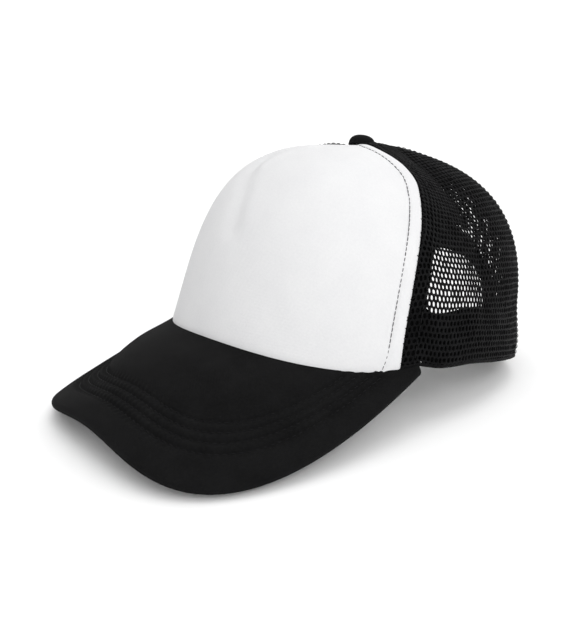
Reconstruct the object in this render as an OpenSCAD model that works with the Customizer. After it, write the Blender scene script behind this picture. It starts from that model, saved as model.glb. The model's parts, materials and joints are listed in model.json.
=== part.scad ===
// Five-panel trucker cap: foam front, mesh sides and back, curved visor and a
// snap strap across the rear arch. The cap is drawn upright, with the edge of
// the headband at z = 0 and the front towards -Y, and is then leaned back to
// stand on the visor and the rear edge of the headband.

/* [Crown] */
// Half the width of the crown at the headband
crown_half_w = 88; // [82:0.5:94]
// From the ears' line to the front of the crown
crown_front = 99.5; // [94:0.5:106]
// From the ears' line to the back of the crown
crown_back = 96.5; // [92:0.5:102]
// Height of the crown above the headband's edge
crown_h = 106; // [98:0.5:114]
// Where the button sits, behind (+) or before (-) the ears' line
button_y = -10.5; // [-20:0.5:0]
// Squareness of the crown seen from above, 2 is an ellipse
plan_n = 2.14; // [2:0.02:2.4]
// Squareness of the profile at the front, side and rear
profile_n = [4.7, 2.4, 3.2]; // [2:0.1:5]
// Inward lean of the wall at the front, side and rear
wall_lean = [0.16, 0.07, 0]; // [0:0.01:0.25]
// How conical the top is towards the front, side and rear
top_cone = [0.17, 0.14, 0.03]; // [0:0.01:0.3]
// How deep the button draws the top in
dimple = 2.8; // [0:0.1:3]
// How far the top swells round that at the front, side and rear
top_swell = [-2.4, 2.4, 0]; // [-3:0.1:3]

/* [Seams and layers] */
// Angle from the front to the foot of the front seam
front_seam = 60.5; // [56:0.5:64]
// How far that seam swings back up the wall, and forward again on the top
front_seam_swing = [17.4, 38]; // [10:0.2:44]
// Angle from the front to the seam between side and rear mesh
rear_seam = 125; // [118:1:130]
// Thickness of the front panel's fabric
face_t = 0.6; // [0.4:0.1:0.8]
// Thickness of the foam behind it
foam_t = 2; // [1.5:0.1:2.2]
// Thickness of the mesh
mesh_t = 0.9; // [0.6:0.1:1]
// Thickness of seam tape
tape_t = 0.6; // [0.4:0.1:0.7]
// Half the width of the tape over a seam
tape_half_w = 8; // [5:0.5:9]
// Air between neighbouring layers
gap = 0.2; // [0.15:0.05:0.3]

/* [Headband] */
// Angle, from the front, at which the sweatband ends
band_end = 151; // [146:1:152]
// How far up the wall it reaches, in front and behind, as a profile angle
band_rise = [14.4, 17.2]; // [12:0.1:18]
// Thickness of the sweatband's cotton, and of its foam
band_t = 0.8; // [0.6:0.1:0.9]
// How far the headband's edge rises over the ears
side_lift = 2.3; // [0:0.1:4]
// How far the lower wall stands out behind the ears
hem_flare = 3.2; // [0:0.1:4]

/* [Visor] */
// Length of the visor in front of the crown, seen from above
visor_len = 55; // [50:1:62]
// Half its width, measured along the curve
visor_half_w = 91.9; // [88:0.5:94]
// Radius that the visor is rolled to
visor_r = 118.5; // [110:0.5:135]
// How steeply it falls towards the tip
visor_pitch = 32.8; // [26:0.2:36]
// Where its ends meet the crown, ahead of the ears' line
temple_y = -43; // [-48:0.5:-40]
// Squareness of the outline, along and across
outline_n = [2.44, 3.3]; // [2:0.02:3.6]
// Distance of the outer and inner stitch rows from the edge
stitch_rows = [11.3, 22.1]; // [9:0.1:26]
// Number of stitch rows
stitch_count = 4; // [3:1:6]
// Thickness of the covers, the wadding and the stiffener
visor_layers = [0.6, 0.6, 1.4]; // [0.5:0.1:2]

/* [Rear arch and snap strap] */
// Half the width of the arch
arch_half_w = 39.25; // [36:0.25:42]
// Height at which the arch's sides become its curve
arch_foot = 20.8; // [19:0.2:23]
// Rise of the curve above that
arch_rise = 36.8; // [32:0.2:40]
// Width of the tape folded over the arch's edge
binding_w = 8; // [6:0.5:9]
// Thickness of the strap's plastic
strap_t = 1; // [0.8:0.1:1.2]
// Height of the strap
strap_h = 11.4; // [11:0.2:19]
// Distance between pegs
peg_pitch = 9; // [9:0.1:9.4]
// Pegs and holes on each strap
peg_count = 7; // [5:1:7]
// Radius of the strap's holes
hole_r = 2.5; // [2.3:0.1:2.7]
// Radius of the pegs
peg_r = 2; // [1.8:0.1:2.1]

/* [Button] */
// Radius of the covered button
button_r = 7.2; // [6.5:0.1:8]
// Height of the covered button
button_h = 5.2; // [4:0.1:6]

/* [Hidden] */
$fn = 48;
deg = 180 / PI;

// Rows of the profile angle, and the ring left open round the button's rivet
top_th = 88;
rows = [for (i = [0:16]) i * top_th / 16];
tape_rows = [for (i = [0:15]) rows[i]];

// Depth of each layer below the crown's outer surface
foam_in = face_t + gap;
mesh_tape_in = mesh_t + gap;
front_tape_in = foam_in + foam_t + gap;
visor_root_in = 3.5;
stitch_h = 0.3;
stitch_w = 0.8;

// Radius of the button's dimple, as a share of the crown's
dimple_r = 0.15;
// Where the swelling of the top is highest, and how wide it is, in the same way
swell_at = 0.23;
swell_w = 0.11;

// ---- Shape of the crown ----
function spow(c, n) = sign(c) * pow(abs(c), 2 / n);
function ramp(x, a, b) =
    let (u = min(1, max(0, (x - a) / (b - a)))) u * u * (3 - 2 * u);
function mix3(w, v) = w[0] * v[0] + w[1] * v[1] + w[2] * v[2];

// Outline seen from above; phi runs from the front towards the wearer's left
function plan_pt(phi, inset) = [
    (crown_half_w - inset) * spow(sin(phi), plan_n),
    -((cos(phi) > 0 ? crown_front : crown_back) - inset) * spow(cos(phi), plan_n)];

temple_phi = acos(pow(-temple_y / crown_front, plan_n / 2));
temple_x = plan_pt(temple_phi, 0).x;
temple_fade = 6;

function roll_drop(x) = visor_r - sqrt(visor_r * visor_r - x * x);
function visor_z(x, y) =
    (y - temple_y) * tan(visor_pitch) + roll_drop(temple_x) - roll_drop(x);

// Height of the headband's edge: along the visor in front, level at the rear
side_span = [temple_phi + temple_fade, 88, 112, 140];
function edge_z(phi, inset) =
    let (a = abs(phi), p = plan_pt(min(a, temple_phi), inset))
    visor_z(p.x, p.y) * (1 - ramp(a, temple_phi, temple_phi + temple_fade))
    + side_lift * ramp(a, side_span[0], side_span[1])
    * (1 - ramp(a, side_span[2], side_span[3]));

// How much wider the crown stands at the hem behind the ears
flare_span = [95, 122, 130, 150];
flare_th = [3, 18];
function flare(phi, th) = hem_flare / crown_half_w
    * ramp(abs(phi), flare_span[0], flare_span[1])
    * (1 - ramp(abs(phi), flare_span[2], flare_span[3]))
    * (1 - ramp(th, flare_th[0], flare_th[1]));

// Point of the crown: th runs from 0 at the edge to 90 at the top
function crown_pt(phi, th, inset) =
    let (c = cos(phi),
         front = pow(max(c, 0), 2),
         rear = 1 - pow(1 - max(-c, 0), 2.5),
         w = [front, 1 - front - rear, rear],
         n = mix3(w, profile_n),
         cone = mix3(w, top_cone),
         k = pow(pow(cos(th), n) + pow(sin(th), n), 1 / n),
         out = cos(th) / k,
         up = sin(th) / k,
         rise = (1 - cone) * up + cone * (1 - out),
         r = out * (1 - mix3(w, wall_lean) * up) * (1 + flare(phi, th)),
         p = plan_pt(phi, inset),
         foot = edge_z(phi, inset))
    [p.x * r, button_y + (p.y - button_y) * r,
     foot + (crown_h - inset - foot) * rise - dimple * exp(-pow(out / dimple_r, 2))
     + mix3(w, top_swell) * exp(-pow((out - swell_at) / swell_w, 2))];

// Angle that a length spans round the crown at one level
function span(len, th) = len * deg / (crown_half_w * max(cos(th), 0.12));
function seam_phi(th) = front_seam + front_seam_swing[0] * pow(sin(th), 2.5)
    - front_seam_swing[1] * ramp(th, 50, 86);

// Profile angle at a given height, and the place of an arch point (x, z)
function level(phi, z, lo = 0, hi = 90, i = 16) =
    i == 0 ? (lo + hi) / 2
    : let (m = (lo + hi) / 2)
      crown_pt(phi, m, 0).z < z ? level(phi, z, m, hi, i - 1)
                                : level(phi, z, lo, m, i - 1);
function place(x, z, phi = 165, i = 5) =
    let (th = level(phi, z))
    i == 0 ? [phi, th]
    : let (r = crown_pt(phi, th, 0).x / plan_pt(phi, 0).x,
           s = pow(abs(x) / (crown_half_w * r), plan_n / 2))
      place(x, z, 180 - max(asin(s), 0.01), i - 1);

// Arch, widened by w, as a list of [phi, th] from its foot to its crown
arch_steps = 11;
function arch_places(w) = concat(
    [for (z = [0.2, arch_foot / 2]) place(arch_half_w + w, z)],
    [for (i = [0:arch_steps]) let (a = 90 * i / arch_steps)
        place((arch_half_w + w) * cos(a), arch_foot + (arch_rise + w) * sin(a))]);

// ---- Closed solid through a list of rings ----
// A ring is an outer path followed by an inner path run back
function tri2(a, b, c, d, turn) =
    turn ? [[a, b, d], [b, c, d]] : [[a, b, c], [a, c, d]];
module loft(rings) {
    n = len(rings);
    m = len(rings[0]);
    h = m / 2;
    last = (n - 1) * m;
    polyhedron(
        points = [for (r = rings) each r],
        faces = [
            for (i = [0:n - 2], j = [0:m - 1])
                let (k = (j + 1) % m)
                each tri2(i * m + j, i * m + k, (i + 1) * m + k, (i + 1) * m + j, j >= h),
            for (j = [0:h - 2])
                each tri2(m - 1 - j, m - 2 - j, j + 1, j, false),
            for (j = [0:h - 2])
                each tri2(last + j, last + j + 1, last + m - 2 - j, last + m - 1 - j, false)]);
}
function flip(v) = [for (i = [len(v) - 1:-1:0]) v[i]];
function ring(outer, inner) = concat(outer, flip(inner));

// Layer of the crown; each column is a list of [phi, th]
module layer(columns, inset, t) {
    loft([for (c = columns)
        ring([for (p = c) crown_pt(p[0], p[1], inset)],
             [for (p = c) crown_pt(p[0], p[1], inset + t)])]);
}

// The cap leans back until the visor and the headband's rear edge stand level
visor_depth = gap + 2 * visor_layers[0] + visor_layers[1] + visor_layers[2] + 3 * gap;
rear_rest = crown_pt(place(arch_half_w, 0.2)[0], 0, 0);
rim_steps = [for (i = [0:40]) visor_pt(i / 40, 1, visor_depth, 0)];
rest_tilt = max([for (p = rim_steps) atan2(-p.z, rear_rest.y - p.y)]);
function lean_y(p) = p.y * cos(rest_tilt) + p.z * sin(rest_tilt);
low_z = -rear_rest.y * sin(rest_tilt);
front_y = lean_y(visor_pt(0, 1, visor_depth, 0));
rear_y = max([for (th = [0:2:60]) lean_y(crown_pt(180, th, 0))]);
module placed() {
    translate([0, -(front_y + rear_y) / 2, -low_z])
        rotate([-rest_tilt, 0, 0]) children();
}

// ---- Front panel ----
front_cols = 24;
module front_layer(inset, t) {
    layer([for (i = [0:front_cols])
        [for (th = rows) [(2 * i / front_cols - 1) * (seam_phi(th) - span(gap, th)), th]]],
        inset, t);
}
module front_panel_face() {
    color("white") placed() front_layer(0, face_t);
}
module front_panel_foam() {
    color("whitesmoke") placed() front_layer(foam_in, foam_t);
}

// ---- Mesh panels, drawn on the wearer's left and mirrored ----
side_cols = 13;
module side_mesh() {
    color([0.08, 0.08, 0.09]) placed()
        layer([for (i = [0:side_cols]) [for (th = rows)
            let (a = seam_phi(th) + span(gap, th), b = rear_seam - span(gap, th))
            [a + (b - a) * i / side_cols, th]]], 0, mesh_t);
}
rear_cols = 12;
mesh_back = 1;
tape_foot = place(0, arch_foot + arch_rise + binding_w + 1)[1];
rear_edge = concat(arch_places(mesh_back),
    [for (th = concat([tape_foot], rows)) if (th >= tape_foot) [180, th]]);
module rear_mesh() {
    color([0.08, 0.08, 0.09]) placed()
        layer([for (i = [0:rear_cols]) [for (e = rear_edge)
            let (a = rear_seam + span(gap, e[1]),
                 b = e[0] > 179.9 ? 180 - span(gap, e[1]) : e[0])
            [a + (b - a) * i / rear_cols, e[1]]]], 0, mesh_t);
}
module left_side_mesh() side_mesh();
module right_side_mesh() mirror([1, 0, 0]) side_mesh();
module left_rear_mesh() rear_mesh();
module right_rear_mesh() mirror([1, 0, 0]) rear_mesh();

// ---- Seam tapes inside the crown ----
module tape(middle, cells = 4) {
    layer([for (i = [0:cells]) [for (th = tape_rows)
        [middle + (2 * i / cells - 1) * min(span(tape_half_w, th), 20), th]]],
        mesh_tape_in, tape_t);
}
// This one steps from behind the foam to behind the mesh
module front_tape() {
    color([0.1, 0.1, 0.11]) placed()
        loft([for (s = [-1, -0.5, 0, 0.4, 0.7, 1])
            let (depth = (s > 0 ? mesh_tape_in : front_tape_in) + gap / 2,
                 path = [for (th = tape_rows)
                     [seam_phi(th) + s * min(span(tape_half_w, th), 20), th]])
            ring([for (p = path) crown_pt(p[0], p[1], depth)],
                 [for (p = path) crown_pt(p[0], p[1], depth + tape_t)])]);
}
module rear_tape() {
    color([0.1, 0.1, 0.11]) placed() tape(rear_seam);
}
module front_left_tape() front_tape();
module front_right_tape() mirror([1, 0, 0]) front_tape();
module rear_left_tape() rear_tape();
module rear_right_tape() mirror([1, 0, 0]) rear_tape();
module centre_back_tape() {
    path = concat([tape_foot], [for (th = tape_rows) if (th > tape_foot) th]);
    color([0.1, 0.1, 0.11]) placed()
        layer([for (i = [-2:2]) [for (th = path)
            [180 + i / 2 * min(span(tape_half_w - 1.5, th), 20), th]]],
            mesh_tape_in, tape_t);
}

// ---- Tape folded over the arch's edge ----
fold = 0.6;
module arch_binding() {
    edge = arch_places(0);
    lip = arch_places(fold);
    mid = arch_places(binding_w / 2);
    far = arch_places(binding_w);
    n = len(edge);
    half = [for (i = [0:n - 1])
        let (e = edge[i], l = lip[i], m = mid[i], f = far[i],
             up = -gap - tape_t, down = mesh_tape_in + tape_t)
        ring([crown_pt(f[0], f[1], up), crown_pt(m[0], m[1], up),
              crown_pt(e[0], e[1], up), crown_pt(e[0], e[1], down),
              crown_pt(m[0], m[1], down), crown_pt(f[0], f[1], down)],
             [crown_pt(f[0], f[1], -gap), crown_pt(m[0], m[1], -gap),
              crown_pt(l[0], l[1], -gap), crown_pt(l[0], l[1], mesh_tape_in),
              crown_pt(m[0], m[1], mesh_tape_in), crown_pt(f[0], f[1], mesh_tape_in)])];
    other = [for (i = [n - 2:-1:0]) [for (p = half[i]) [-p.x, p.y, p.z]]];
    color([0.1, 0.1, 0.11]) placed() loft(concat(half, other));
}

// ---- Needle line beside the front seam ----
function line_in(th) =
    6.2 + 2.5 * exp(-th / 2.5) + 1.3 * ramp(th, 40, 58) - 4 * ramp(th, 62, 78);
module needle_line() {
    loft([for (th = concat([0.8, 3], [for (i = [1:15]) rows[i]]))
        let (a = seam_phi(th) - min(span(line_in(th), th), 30),
             w = span(stitch_w / 2, th))
        [crown_pt(a - w, th, -gap - stitch_h), crown_pt(a + w, th, -gap - stitch_h),
         crown_pt(a + w, th, -gap), crown_pt(a - w, th, -gap)]]);
}
module front_topstitch() {
    color([0.12, 0.12, 0.13]) placed() {
        needle_line();
        mirror([1, 0, 0]) needle_line();
    }
}

// ---- Sweatband ----
// It lies behind the foam at the front, close to the mesh at the sides and
// behind the strap's sewn ends at the rear
function band_in(phi) = let (a = abs(phi))
    mesh_tape_in + tape_t + 2 * gap
    + 1.8 * (1 - ramp(a, 69, 78)) + 2.6 * ramp(a, 129, 138);
function band_top(phi) =
    band_rise[0] + (band_rise[1] - band_rise[0]) * ramp(abs(phi), 60, 94);
band_cols = 60;
// The ends of a layer's rows are its distances from the band's lower and upper edge
module band_layer(depth, t, rows_at) {
    loft([for (i = [0:band_cols])
        let (phi = band_end * (2 * i / band_cols - 1),
             in = band_in(phi) + depth,
             ths = [for (r = rows_at) r[0] + r[1] * band_top(phi)])
        ring([for (th = ths) crown_pt(phi, th, in)],
             [for (th = ths) crown_pt(phi, th, in + t)])]);
}
foam_rows = [[1, 0], [0, 1 / 3], [0, 2 / 3], [-1, 1]];
module sweatband() {
    color([0.09, 0.09, 0.1]) placed()
        band_layer(band_t + gap, band_t, concat([[0.2, 0]], foam_rows, [[0, 1]]));
}
module sweatband_foam() {
    color("dimgray") placed() band_layer(0, band_t, foam_rows);
}
module sweatband_stitching() {
    color([0.16, 0.16, 0.17]) placed()
        band_layer(2 * (band_t + gap), stitch_h, [[1.4, 0], [1.8, 0]]);
}

// ---- Visor ----
// Outline point at t from -1 to 1, drawn in by trim
function visor_rim(t, trim) =
    let (a = 90 * sign(t) * pow(abs(t), 1.5),
         u = (visor_half_w - trim) * spow(sin(a), outline_n[1]))
    [visor_r * sin(u * deg / visor_r),
     temple_y - (crown_front + visor_len - trim + temple_y) * spow(cos(a), outline_n[0])];
function below(p, depth) =
    let (nx = p.x / sqrt(visor_r * visor_r - p.x * p.x),
         n = [nx, -tan(visor_pitch), 1],
         z = visor_z(p.x, p.y))
    [p.x, p.y, z] - depth * n / norm(n);
function visor_pt(t, s, depth, trim) =
    let (root = plan_pt(temple_phi * t, visor_root_in), rim = visor_rim(t, trim))
    below(root + (rim - root) * s, depth);

visor_cols = 32;
visor_cells = 6;
module visor_layer(depth, t, trim) {
    loft([for (i = [0:visor_cols])
        let (u = (2 * i / visor_cols - 1) * (1 - trim / 150))
        ring([for (j = [0:visor_cells]) visor_pt(u, j / visor_cells, depth, trim)],
             [for (j = [0:visor_cells]) visor_pt(u, j / visor_cells, depth + t, trim)])]);
}
cover_t = visor_layers[0];
wadding_at = 2 * gap + cover_t;
board_at = wadding_at + visor_layers[1] + gap;
under_at = board_at + visor_layers[2] + gap;
rim_t = 0.7;
module visor_top_cover() {
    color([0.11, 0.11, 0.12]) placed() visor_layer(gap, cover_t, rim_t + gap);
}
module visor_foam() {
    color("gray") placed() visor_layer(wadding_at, visor_layers[1], 2);
}
module visor_board() {
    color("lightgray") placed() visor_layer(board_at, visor_layers[2], 1.6);
}
// The lower cover turns up round the rim, where the top cover meets it
module visor_under_cover() {
    color([0.11, 0.11, 0.12]) placed()
        loft([for (i = [0:visor_cols])
            let (u = 2 * i / visor_cols - 1)
            ring(concat([visor_pt(u, 1, gap, rim_t)],
                     flip([for (j = [0:visor_cells])
                         visor_pt(u, j / visor_cells, under_at, j == visor_cells ? rim_t : 0)])),
                 concat([visor_pt(u, 1, gap, 0)],
                     flip([for (j = [0:visor_cells])
                         visor_pt(u, j / visor_cells, under_at + cover_t, 0)])))]);
}

// A stitch row runs parallel to the rim until it reaches the crown
function off_crown(p) = pow(abs(p.x) / crown_half_w, plan_n)
    + pow(abs(p.y) / crown_front, plan_n) - 1.02;
function row_end(trim, lo = 0, hi = 1, i = 14) =
    i == 0 ? lo
    : let (m = (lo + hi) / 2)
      off_crown(visor_rim(m, trim)) > 0 ? row_end(trim, m, hi, i - 1)
                                        : row_end(trim, lo, m, i - 1);
row_steps = 24;
module stitch_row(trim, depth) {
    end = row_end(trim + stitch_w);
    loft([for (i = [0:row_steps])
        let (t = end * (2 * i / row_steps - 1),
             a = visor_rim(t, trim - stitch_w / 2),
             b = visor_rim(t, trim + stitch_w / 2))
        [below(b, depth), below(a, depth), below(a, depth + stitch_h),
         below(b, depth + stitch_h)]]);
}
module visor_stitching() {
    step = (stitch_rows[1] - stitch_rows[0]) / (stitch_count - 1);
    color([0.16, 0.16, 0.17]) placed()
        for (i = [0:stitch_count - 1]) {
            stitch_row(stitch_rows[0] + i * step, -stitch_h);
            stitch_row(stitch_rows[0] + i * step, under_at + cover_t + gap);
        }
}

// ---- Covered button, riveted through the crown's top ----
top_z = crown_h - dimple;
button_z = top_z + 0.6;
cover_wall = 0.5;
shell_wall = 0.5;
rivet_r = 1.3;
rivet_head_r = 2.4;
rivet_head_t = 0.6;
washer_r = 5;
washer_t = 0.5;
washer_z = top_z - front_tape_in - tape_t - 1.4;
module at_button(z) translate([0, button_y, z]) children();
// Half of a flat dome's section, r wide and h high, with steep sides
dome_n = 2.5;
module dome_section(r, h) {
    polygon(concat([[0, 0]],
        [for (a = [0:9:90]) [r * spow(cos(a), dome_n), h * spow(sin(a), dome_n)]]));
}
module dome(r, h, wall) {
    rotate_extrude() difference() {
        dome_section(r, h);
        dome_section(r - wall, h - wall);
    }
}
module button_cover() {
    color([0.08, 0.08, 0.09]) placed() at_button(button_z)
        dome(button_r, button_h, cover_wall);
}
module button_shell() {
    color("silver") placed() at_button(button_z)
        dome(button_r - cover_wall - gap, button_h - cover_wall - gap, shell_wall);
}
module button_rivet() {
    head_z = button_z + button_h - cover_wall - shell_wall - 3 * gap - 2 * rivet_head_t;
    clenched_z = washer_z - gap - washer_t;
    color("silver") placed() {
        at_button(clenched_z) cylinder(r = rivet_r, h = head_z - clenched_z);
        at_button(head_z) cylinder(r = rivet_head_r, h = rivet_head_t);
        at_button(clenched_z) cylinder(r = rivet_head_r, h = washer_t);
    }
}
module button_washer() {
    color("silver") placed() at_button(washer_z) difference() {
        cylinder(r = washer_r, h = washer_t);
        translate([0, 0, -1]) cylinder(r = rivet_r + gap, h = washer_t + 2);
    }
}

// ---- Snap strap: arcs about an upright axis near the crown's middle ----
strap_r = 93.8;
strap_y = crown_back - strap_r;
strap_z = 0.5;
hole_in = mesh_tape_in + tape_t + 2 * gap;
peg_in = hole_in + strap_t + 2 * gap;
peg_taper = 0.5;
pitch_a = peg_pitch * deg / strap_r;
hinge_a = 22.8;
tab_end_a = 34.8;
free_end_a = (peg_count - 4) * pitch_a + 0.25 * pitch_a;
hinge_clear_a = 0.35;

// Arc from angle a to b, measured from the rear towards the wearer's left
module strap_arc(a, b, inset, t, z, h) {
    translate([0, strap_y, z]) rotate([0, 0, 90 - b])
        rotate_extrude(angle = b - a, $fn = 180)
            translate([strap_r - inset - t, 0]) square([t, h]);
}
module at_strap(a) translate([0, strap_y, 0]) rotate([0, 0, -a]) children();
// Rounds the two corners of the free end at angle -free_end_a
module corner_cuts(inset) {
    r = 3;
    for (up = [0, 1])
        at_strap(-free_end_a)
            translate([0, strap_r - inset, strap_z + (up == 1 ? strap_h : 0)])
            mirror([0, 0, up]) difference() {
                translate([-1, -3, -1]) cube([r + 1, 6, r + 1]);
                translate([r, 0, r]) rotate([90, 0, 0]) cylinder(r = r, h = 8, center = true);
            }
}
module strap_band(inset, a_hinge) {
    difference() {
        strap_arc(-free_end_a, a_hinge, inset, strap_t, strap_z, strap_h);
        corner_cuts(inset);
    }
}
module strap_holes() {
    for (i = [0:peg_count - 1])
        at_strap((i - peg_count / 2 + 1) * pitch_a)
            translate([0, strap_r, strap_z + strap_h / 2])
            rotate([90, 0, 0]) cylinder(r = hole_r, h = 12, center = true);
}
module strap_pegs() {
    for (i = [0:peg_count - 1])
        at_strap((i - peg_count / 2 + 1) * pitch_a)
            translate([0, strap_r - peg_in - strap_t / 2, strap_z + strap_h / 2])
            rotate([-90, 0, 0])
            cylinder(r1 = peg_r, r2 = peg_r - peg_taper, h = peg_in - hole_in + strap_t);
}
module hole_strap_tab() {
    color([0.07, 0.07, 0.08]) placed()
        strap_arc(hinge_a + hinge_clear_a, tab_end_a, hole_in, strap_t, strap_z, strap_h);
}
module hole_strap_band() {
    color([0.07, 0.07, 0.08]) placed() difference() {
        strap_band(hole_in, hinge_a);
        strap_holes();
    }
}
module peg_strap_tab() {
    color([0.07, 0.07, 0.08]) mirror([1, 0, 0]) placed()
        strap_arc(hinge_a + hinge_clear_a, tab_end_a, peg_in, strap_t, strap_z, strap_h);
}
module peg_strap_band() {
    color([0.07, 0.07, 0.08]) mirror([1, 0, 0]) placed() {
        strap_band(peg_in, hinge_a);
        strap_pegs();
    }
}
// Two upright rows of stitches hold each sewn end
module strap_stitching() {
    color([0.16, 0.16, 0.17]) placed()
        for (side = [0, 1], a = [31.4, 33.6])
            mirror([side, 0, 0]) at_strap(a)
                translate([-stitch_w / 2, strap_r + gap + 0.1, 3])
                cube([stitch_w, stitch_h, strap_h - 3]);
}

front_panel_face();
front_panel_foam();
left_side_mesh();
right_side_mesh();
left_rear_mesh();
right_rear_mesh();
front_left_tape();
front_right_tape();
rear_left_tape();
rear_right_tape();
centre_back_tape();
arch_binding();
front_topstitch();
sweatband();
sweatband_foam();
sweatband_stitching();
visor_top_cover();
visor_foam();
visor_board();
visor_under_cover();
visor_stitching();
button_cover();
button_shell();
button_rivet();
button_washer();
hole_strap_tab();
hole_strap_band();
peg_strap_tab();
peg_strap_band();
strap_stitching();
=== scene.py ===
"""Looks of the trucker cap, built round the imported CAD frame.

Shapes are worked out in the cap's own millimetre frame, upright, with the
headband's edge at z = 0, and to_row() leans them back as the CAD parts are.
A place on the crown is (phi, th) in degrees: phi is 0 at the front and grows
towards the wearer's left, th is 0 at the headband's edge and 90 at the top.
"""
import json
import math

import bmesh
import bpy
import numpy as np
from mathutils import Matrix, Vector


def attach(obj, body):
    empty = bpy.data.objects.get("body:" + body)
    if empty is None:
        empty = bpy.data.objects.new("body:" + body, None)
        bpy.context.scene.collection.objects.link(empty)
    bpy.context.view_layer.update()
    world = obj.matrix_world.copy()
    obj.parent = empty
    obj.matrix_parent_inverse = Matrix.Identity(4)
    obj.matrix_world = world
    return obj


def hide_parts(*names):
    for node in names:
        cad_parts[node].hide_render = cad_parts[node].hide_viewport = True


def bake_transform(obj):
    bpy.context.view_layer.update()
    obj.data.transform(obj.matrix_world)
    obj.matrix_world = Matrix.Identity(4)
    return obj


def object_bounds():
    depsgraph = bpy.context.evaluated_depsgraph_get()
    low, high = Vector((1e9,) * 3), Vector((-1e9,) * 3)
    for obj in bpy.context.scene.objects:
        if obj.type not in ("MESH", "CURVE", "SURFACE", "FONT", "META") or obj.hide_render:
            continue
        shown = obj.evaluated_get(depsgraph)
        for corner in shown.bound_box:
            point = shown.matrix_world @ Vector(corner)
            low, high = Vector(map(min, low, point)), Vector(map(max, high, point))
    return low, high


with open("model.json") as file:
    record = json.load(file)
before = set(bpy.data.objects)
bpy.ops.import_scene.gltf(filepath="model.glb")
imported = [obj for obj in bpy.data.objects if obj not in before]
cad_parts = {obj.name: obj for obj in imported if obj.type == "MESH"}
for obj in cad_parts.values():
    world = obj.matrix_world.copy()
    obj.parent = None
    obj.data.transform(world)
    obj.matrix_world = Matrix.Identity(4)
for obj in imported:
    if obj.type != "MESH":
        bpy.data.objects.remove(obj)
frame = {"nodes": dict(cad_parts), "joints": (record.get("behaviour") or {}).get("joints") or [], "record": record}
cad_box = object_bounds()

MM = 0.001
DEG = 180 / math.pi
UP = -Vector(frame["joints"][0]["axis"])
LEAN = math.atan2(UP.y, UP.z)
BAND_CENTRE = Vector(frame["record"]["mounts"][0]["pos_m"])

# ---- Driving dimensions, as in the CAD source, in millimetres and degrees ----
HALF_W, FRONT, BACK, HEIGHT, BUTTON_Y = 88.0, 99.5, 96.5, 106.0, -10.5
PLAN_N = 2.14
PROFILE_N = (4.7, 2.4, 3.2)
WALL_LEAN = (0.16, 0.07, 0.0)
TOP_CONE = (0.17, 0.14, 0.03)
DIMPLE, DIMPLE_R = 2.8, 0.15
TOP_SWELL, SWELL_AT, SWELL_W = (-2.4, 2.4, 0.0), 0.23, 0.11
FRONT_SEAM, SEAM_SWING, REAR_SEAM = 60.5, (17.4, 38.0), 125.0
FACE_T, FOAM_T, MESH_T, TAPE_T, TAPE_HALF_W, GAP = 0.6, 2.0, 0.9, 0.6, 8.0, 0.2
BAND_END, BAND_RISE, BAND_T = 151.0, (14.4, 17.2), 0.8
SIDE_LIFT, SIDE_SPAN, TEMPLE_FADE = 2.3, (88, 112, 140), 6
HEM_FLARE, FLARE_SPAN, FLARE_TH = 3.2, (95, 122, 130, 150), (3, 18)
VISOR_LEN, VISOR_HALF_W, VISOR_R, VISOR_PITCH = 55.0, 91.9, 118.5, 32.8
COVER_T, WADDING_T, BOARD_T = 0.6, 0.6, 1.4
TEMPLE_Y, VISOR_ROOT_IN = -43.0, 3.5
OUTLINE_N = (2.44, 3.3)
STITCH_ROWS = np.linspace(11.3, 22.1, 4)
ARCH_HALF_W, ARCH_FOOT, ARCH_RISE, BINDING_W = 39.25, 20.8, 36.8, 8.0
STRAP_R, STRAP_T, STRAP_Z, STRAP_H, STRAP_CORNER = 93.8, 1.0, 0.5, 11.4, 3.0
PEG_PITCH, PEG_COUNT, HOLE_R, PEG_R = 9.0, 7, 2.5, 2.0
HINGE_A, TAB_END_A = 22.8, 34.8
BUTTON_R, BUTTON_H, DOME_N, CLOTH_T = 7.2, 5.2, 2.5, 0.5
TOP_TH = 88.0

FOAM_IN = FACE_T + GAP
TAPE_IN = MESH_T + GAP
FRONT_TAPE_IN = FOAM_IN + FOAM_T + GAP
VISOR_DEPTH = 4 * GAP + 2 * COVER_T + WADDING_T + BOARD_T
HOLE_IN = TAPE_IN + TAPE_T + 2 * GAP
PEG_IN = HOLE_IN + STRAP_T + 2 * GAP
STRAP_Y = BACK - STRAP_R
BUTTON_Z = HEIGHT - DIMPLE + 0.6


# ---- Shape of the crown and visor ----
def spow(c, n):
    return np.sign(c) * np.abs(c) ** (2 / n)


def ramp(x, a, b):
    u = np.clip((np.asarray(x, float) - a) / (b - a), 0, 1)
    return u * u * (3 - 2 * u)


def bell(x, width):
    return np.exp(-(x / width) ** 2)


def plan(phi, inset=0.0):
    c, s = np.cos(np.radians(phi)), np.sin(np.radians(phi))
    reach = np.where(c > 0, FRONT, BACK) - inset
    return (HALF_W - inset) * spow(s, PLAN_N), -reach * spow(c, PLAN_N)


TEMPLE_PHI = math.degrees(math.acos((-TEMPLE_Y / FRONT) ** (PLAN_N / 2)))
TEMPLE_X = float(plan(TEMPLE_PHI)[0])
TAN_PITCH = math.tan(math.radians(VISOR_PITCH))


def roll_drop(x):
    return VISOR_R - np.sqrt(VISOR_R ** 2 - np.square(x))


def visor_z(x, y):
    return (y - TEMPLE_Y) * TAN_PITCH + roll_drop(TEMPLE_X) - roll_drop(x)


def from_front(phi):
    return np.abs((np.asarray(phi, float) + 180) % 360 - 180)


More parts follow.
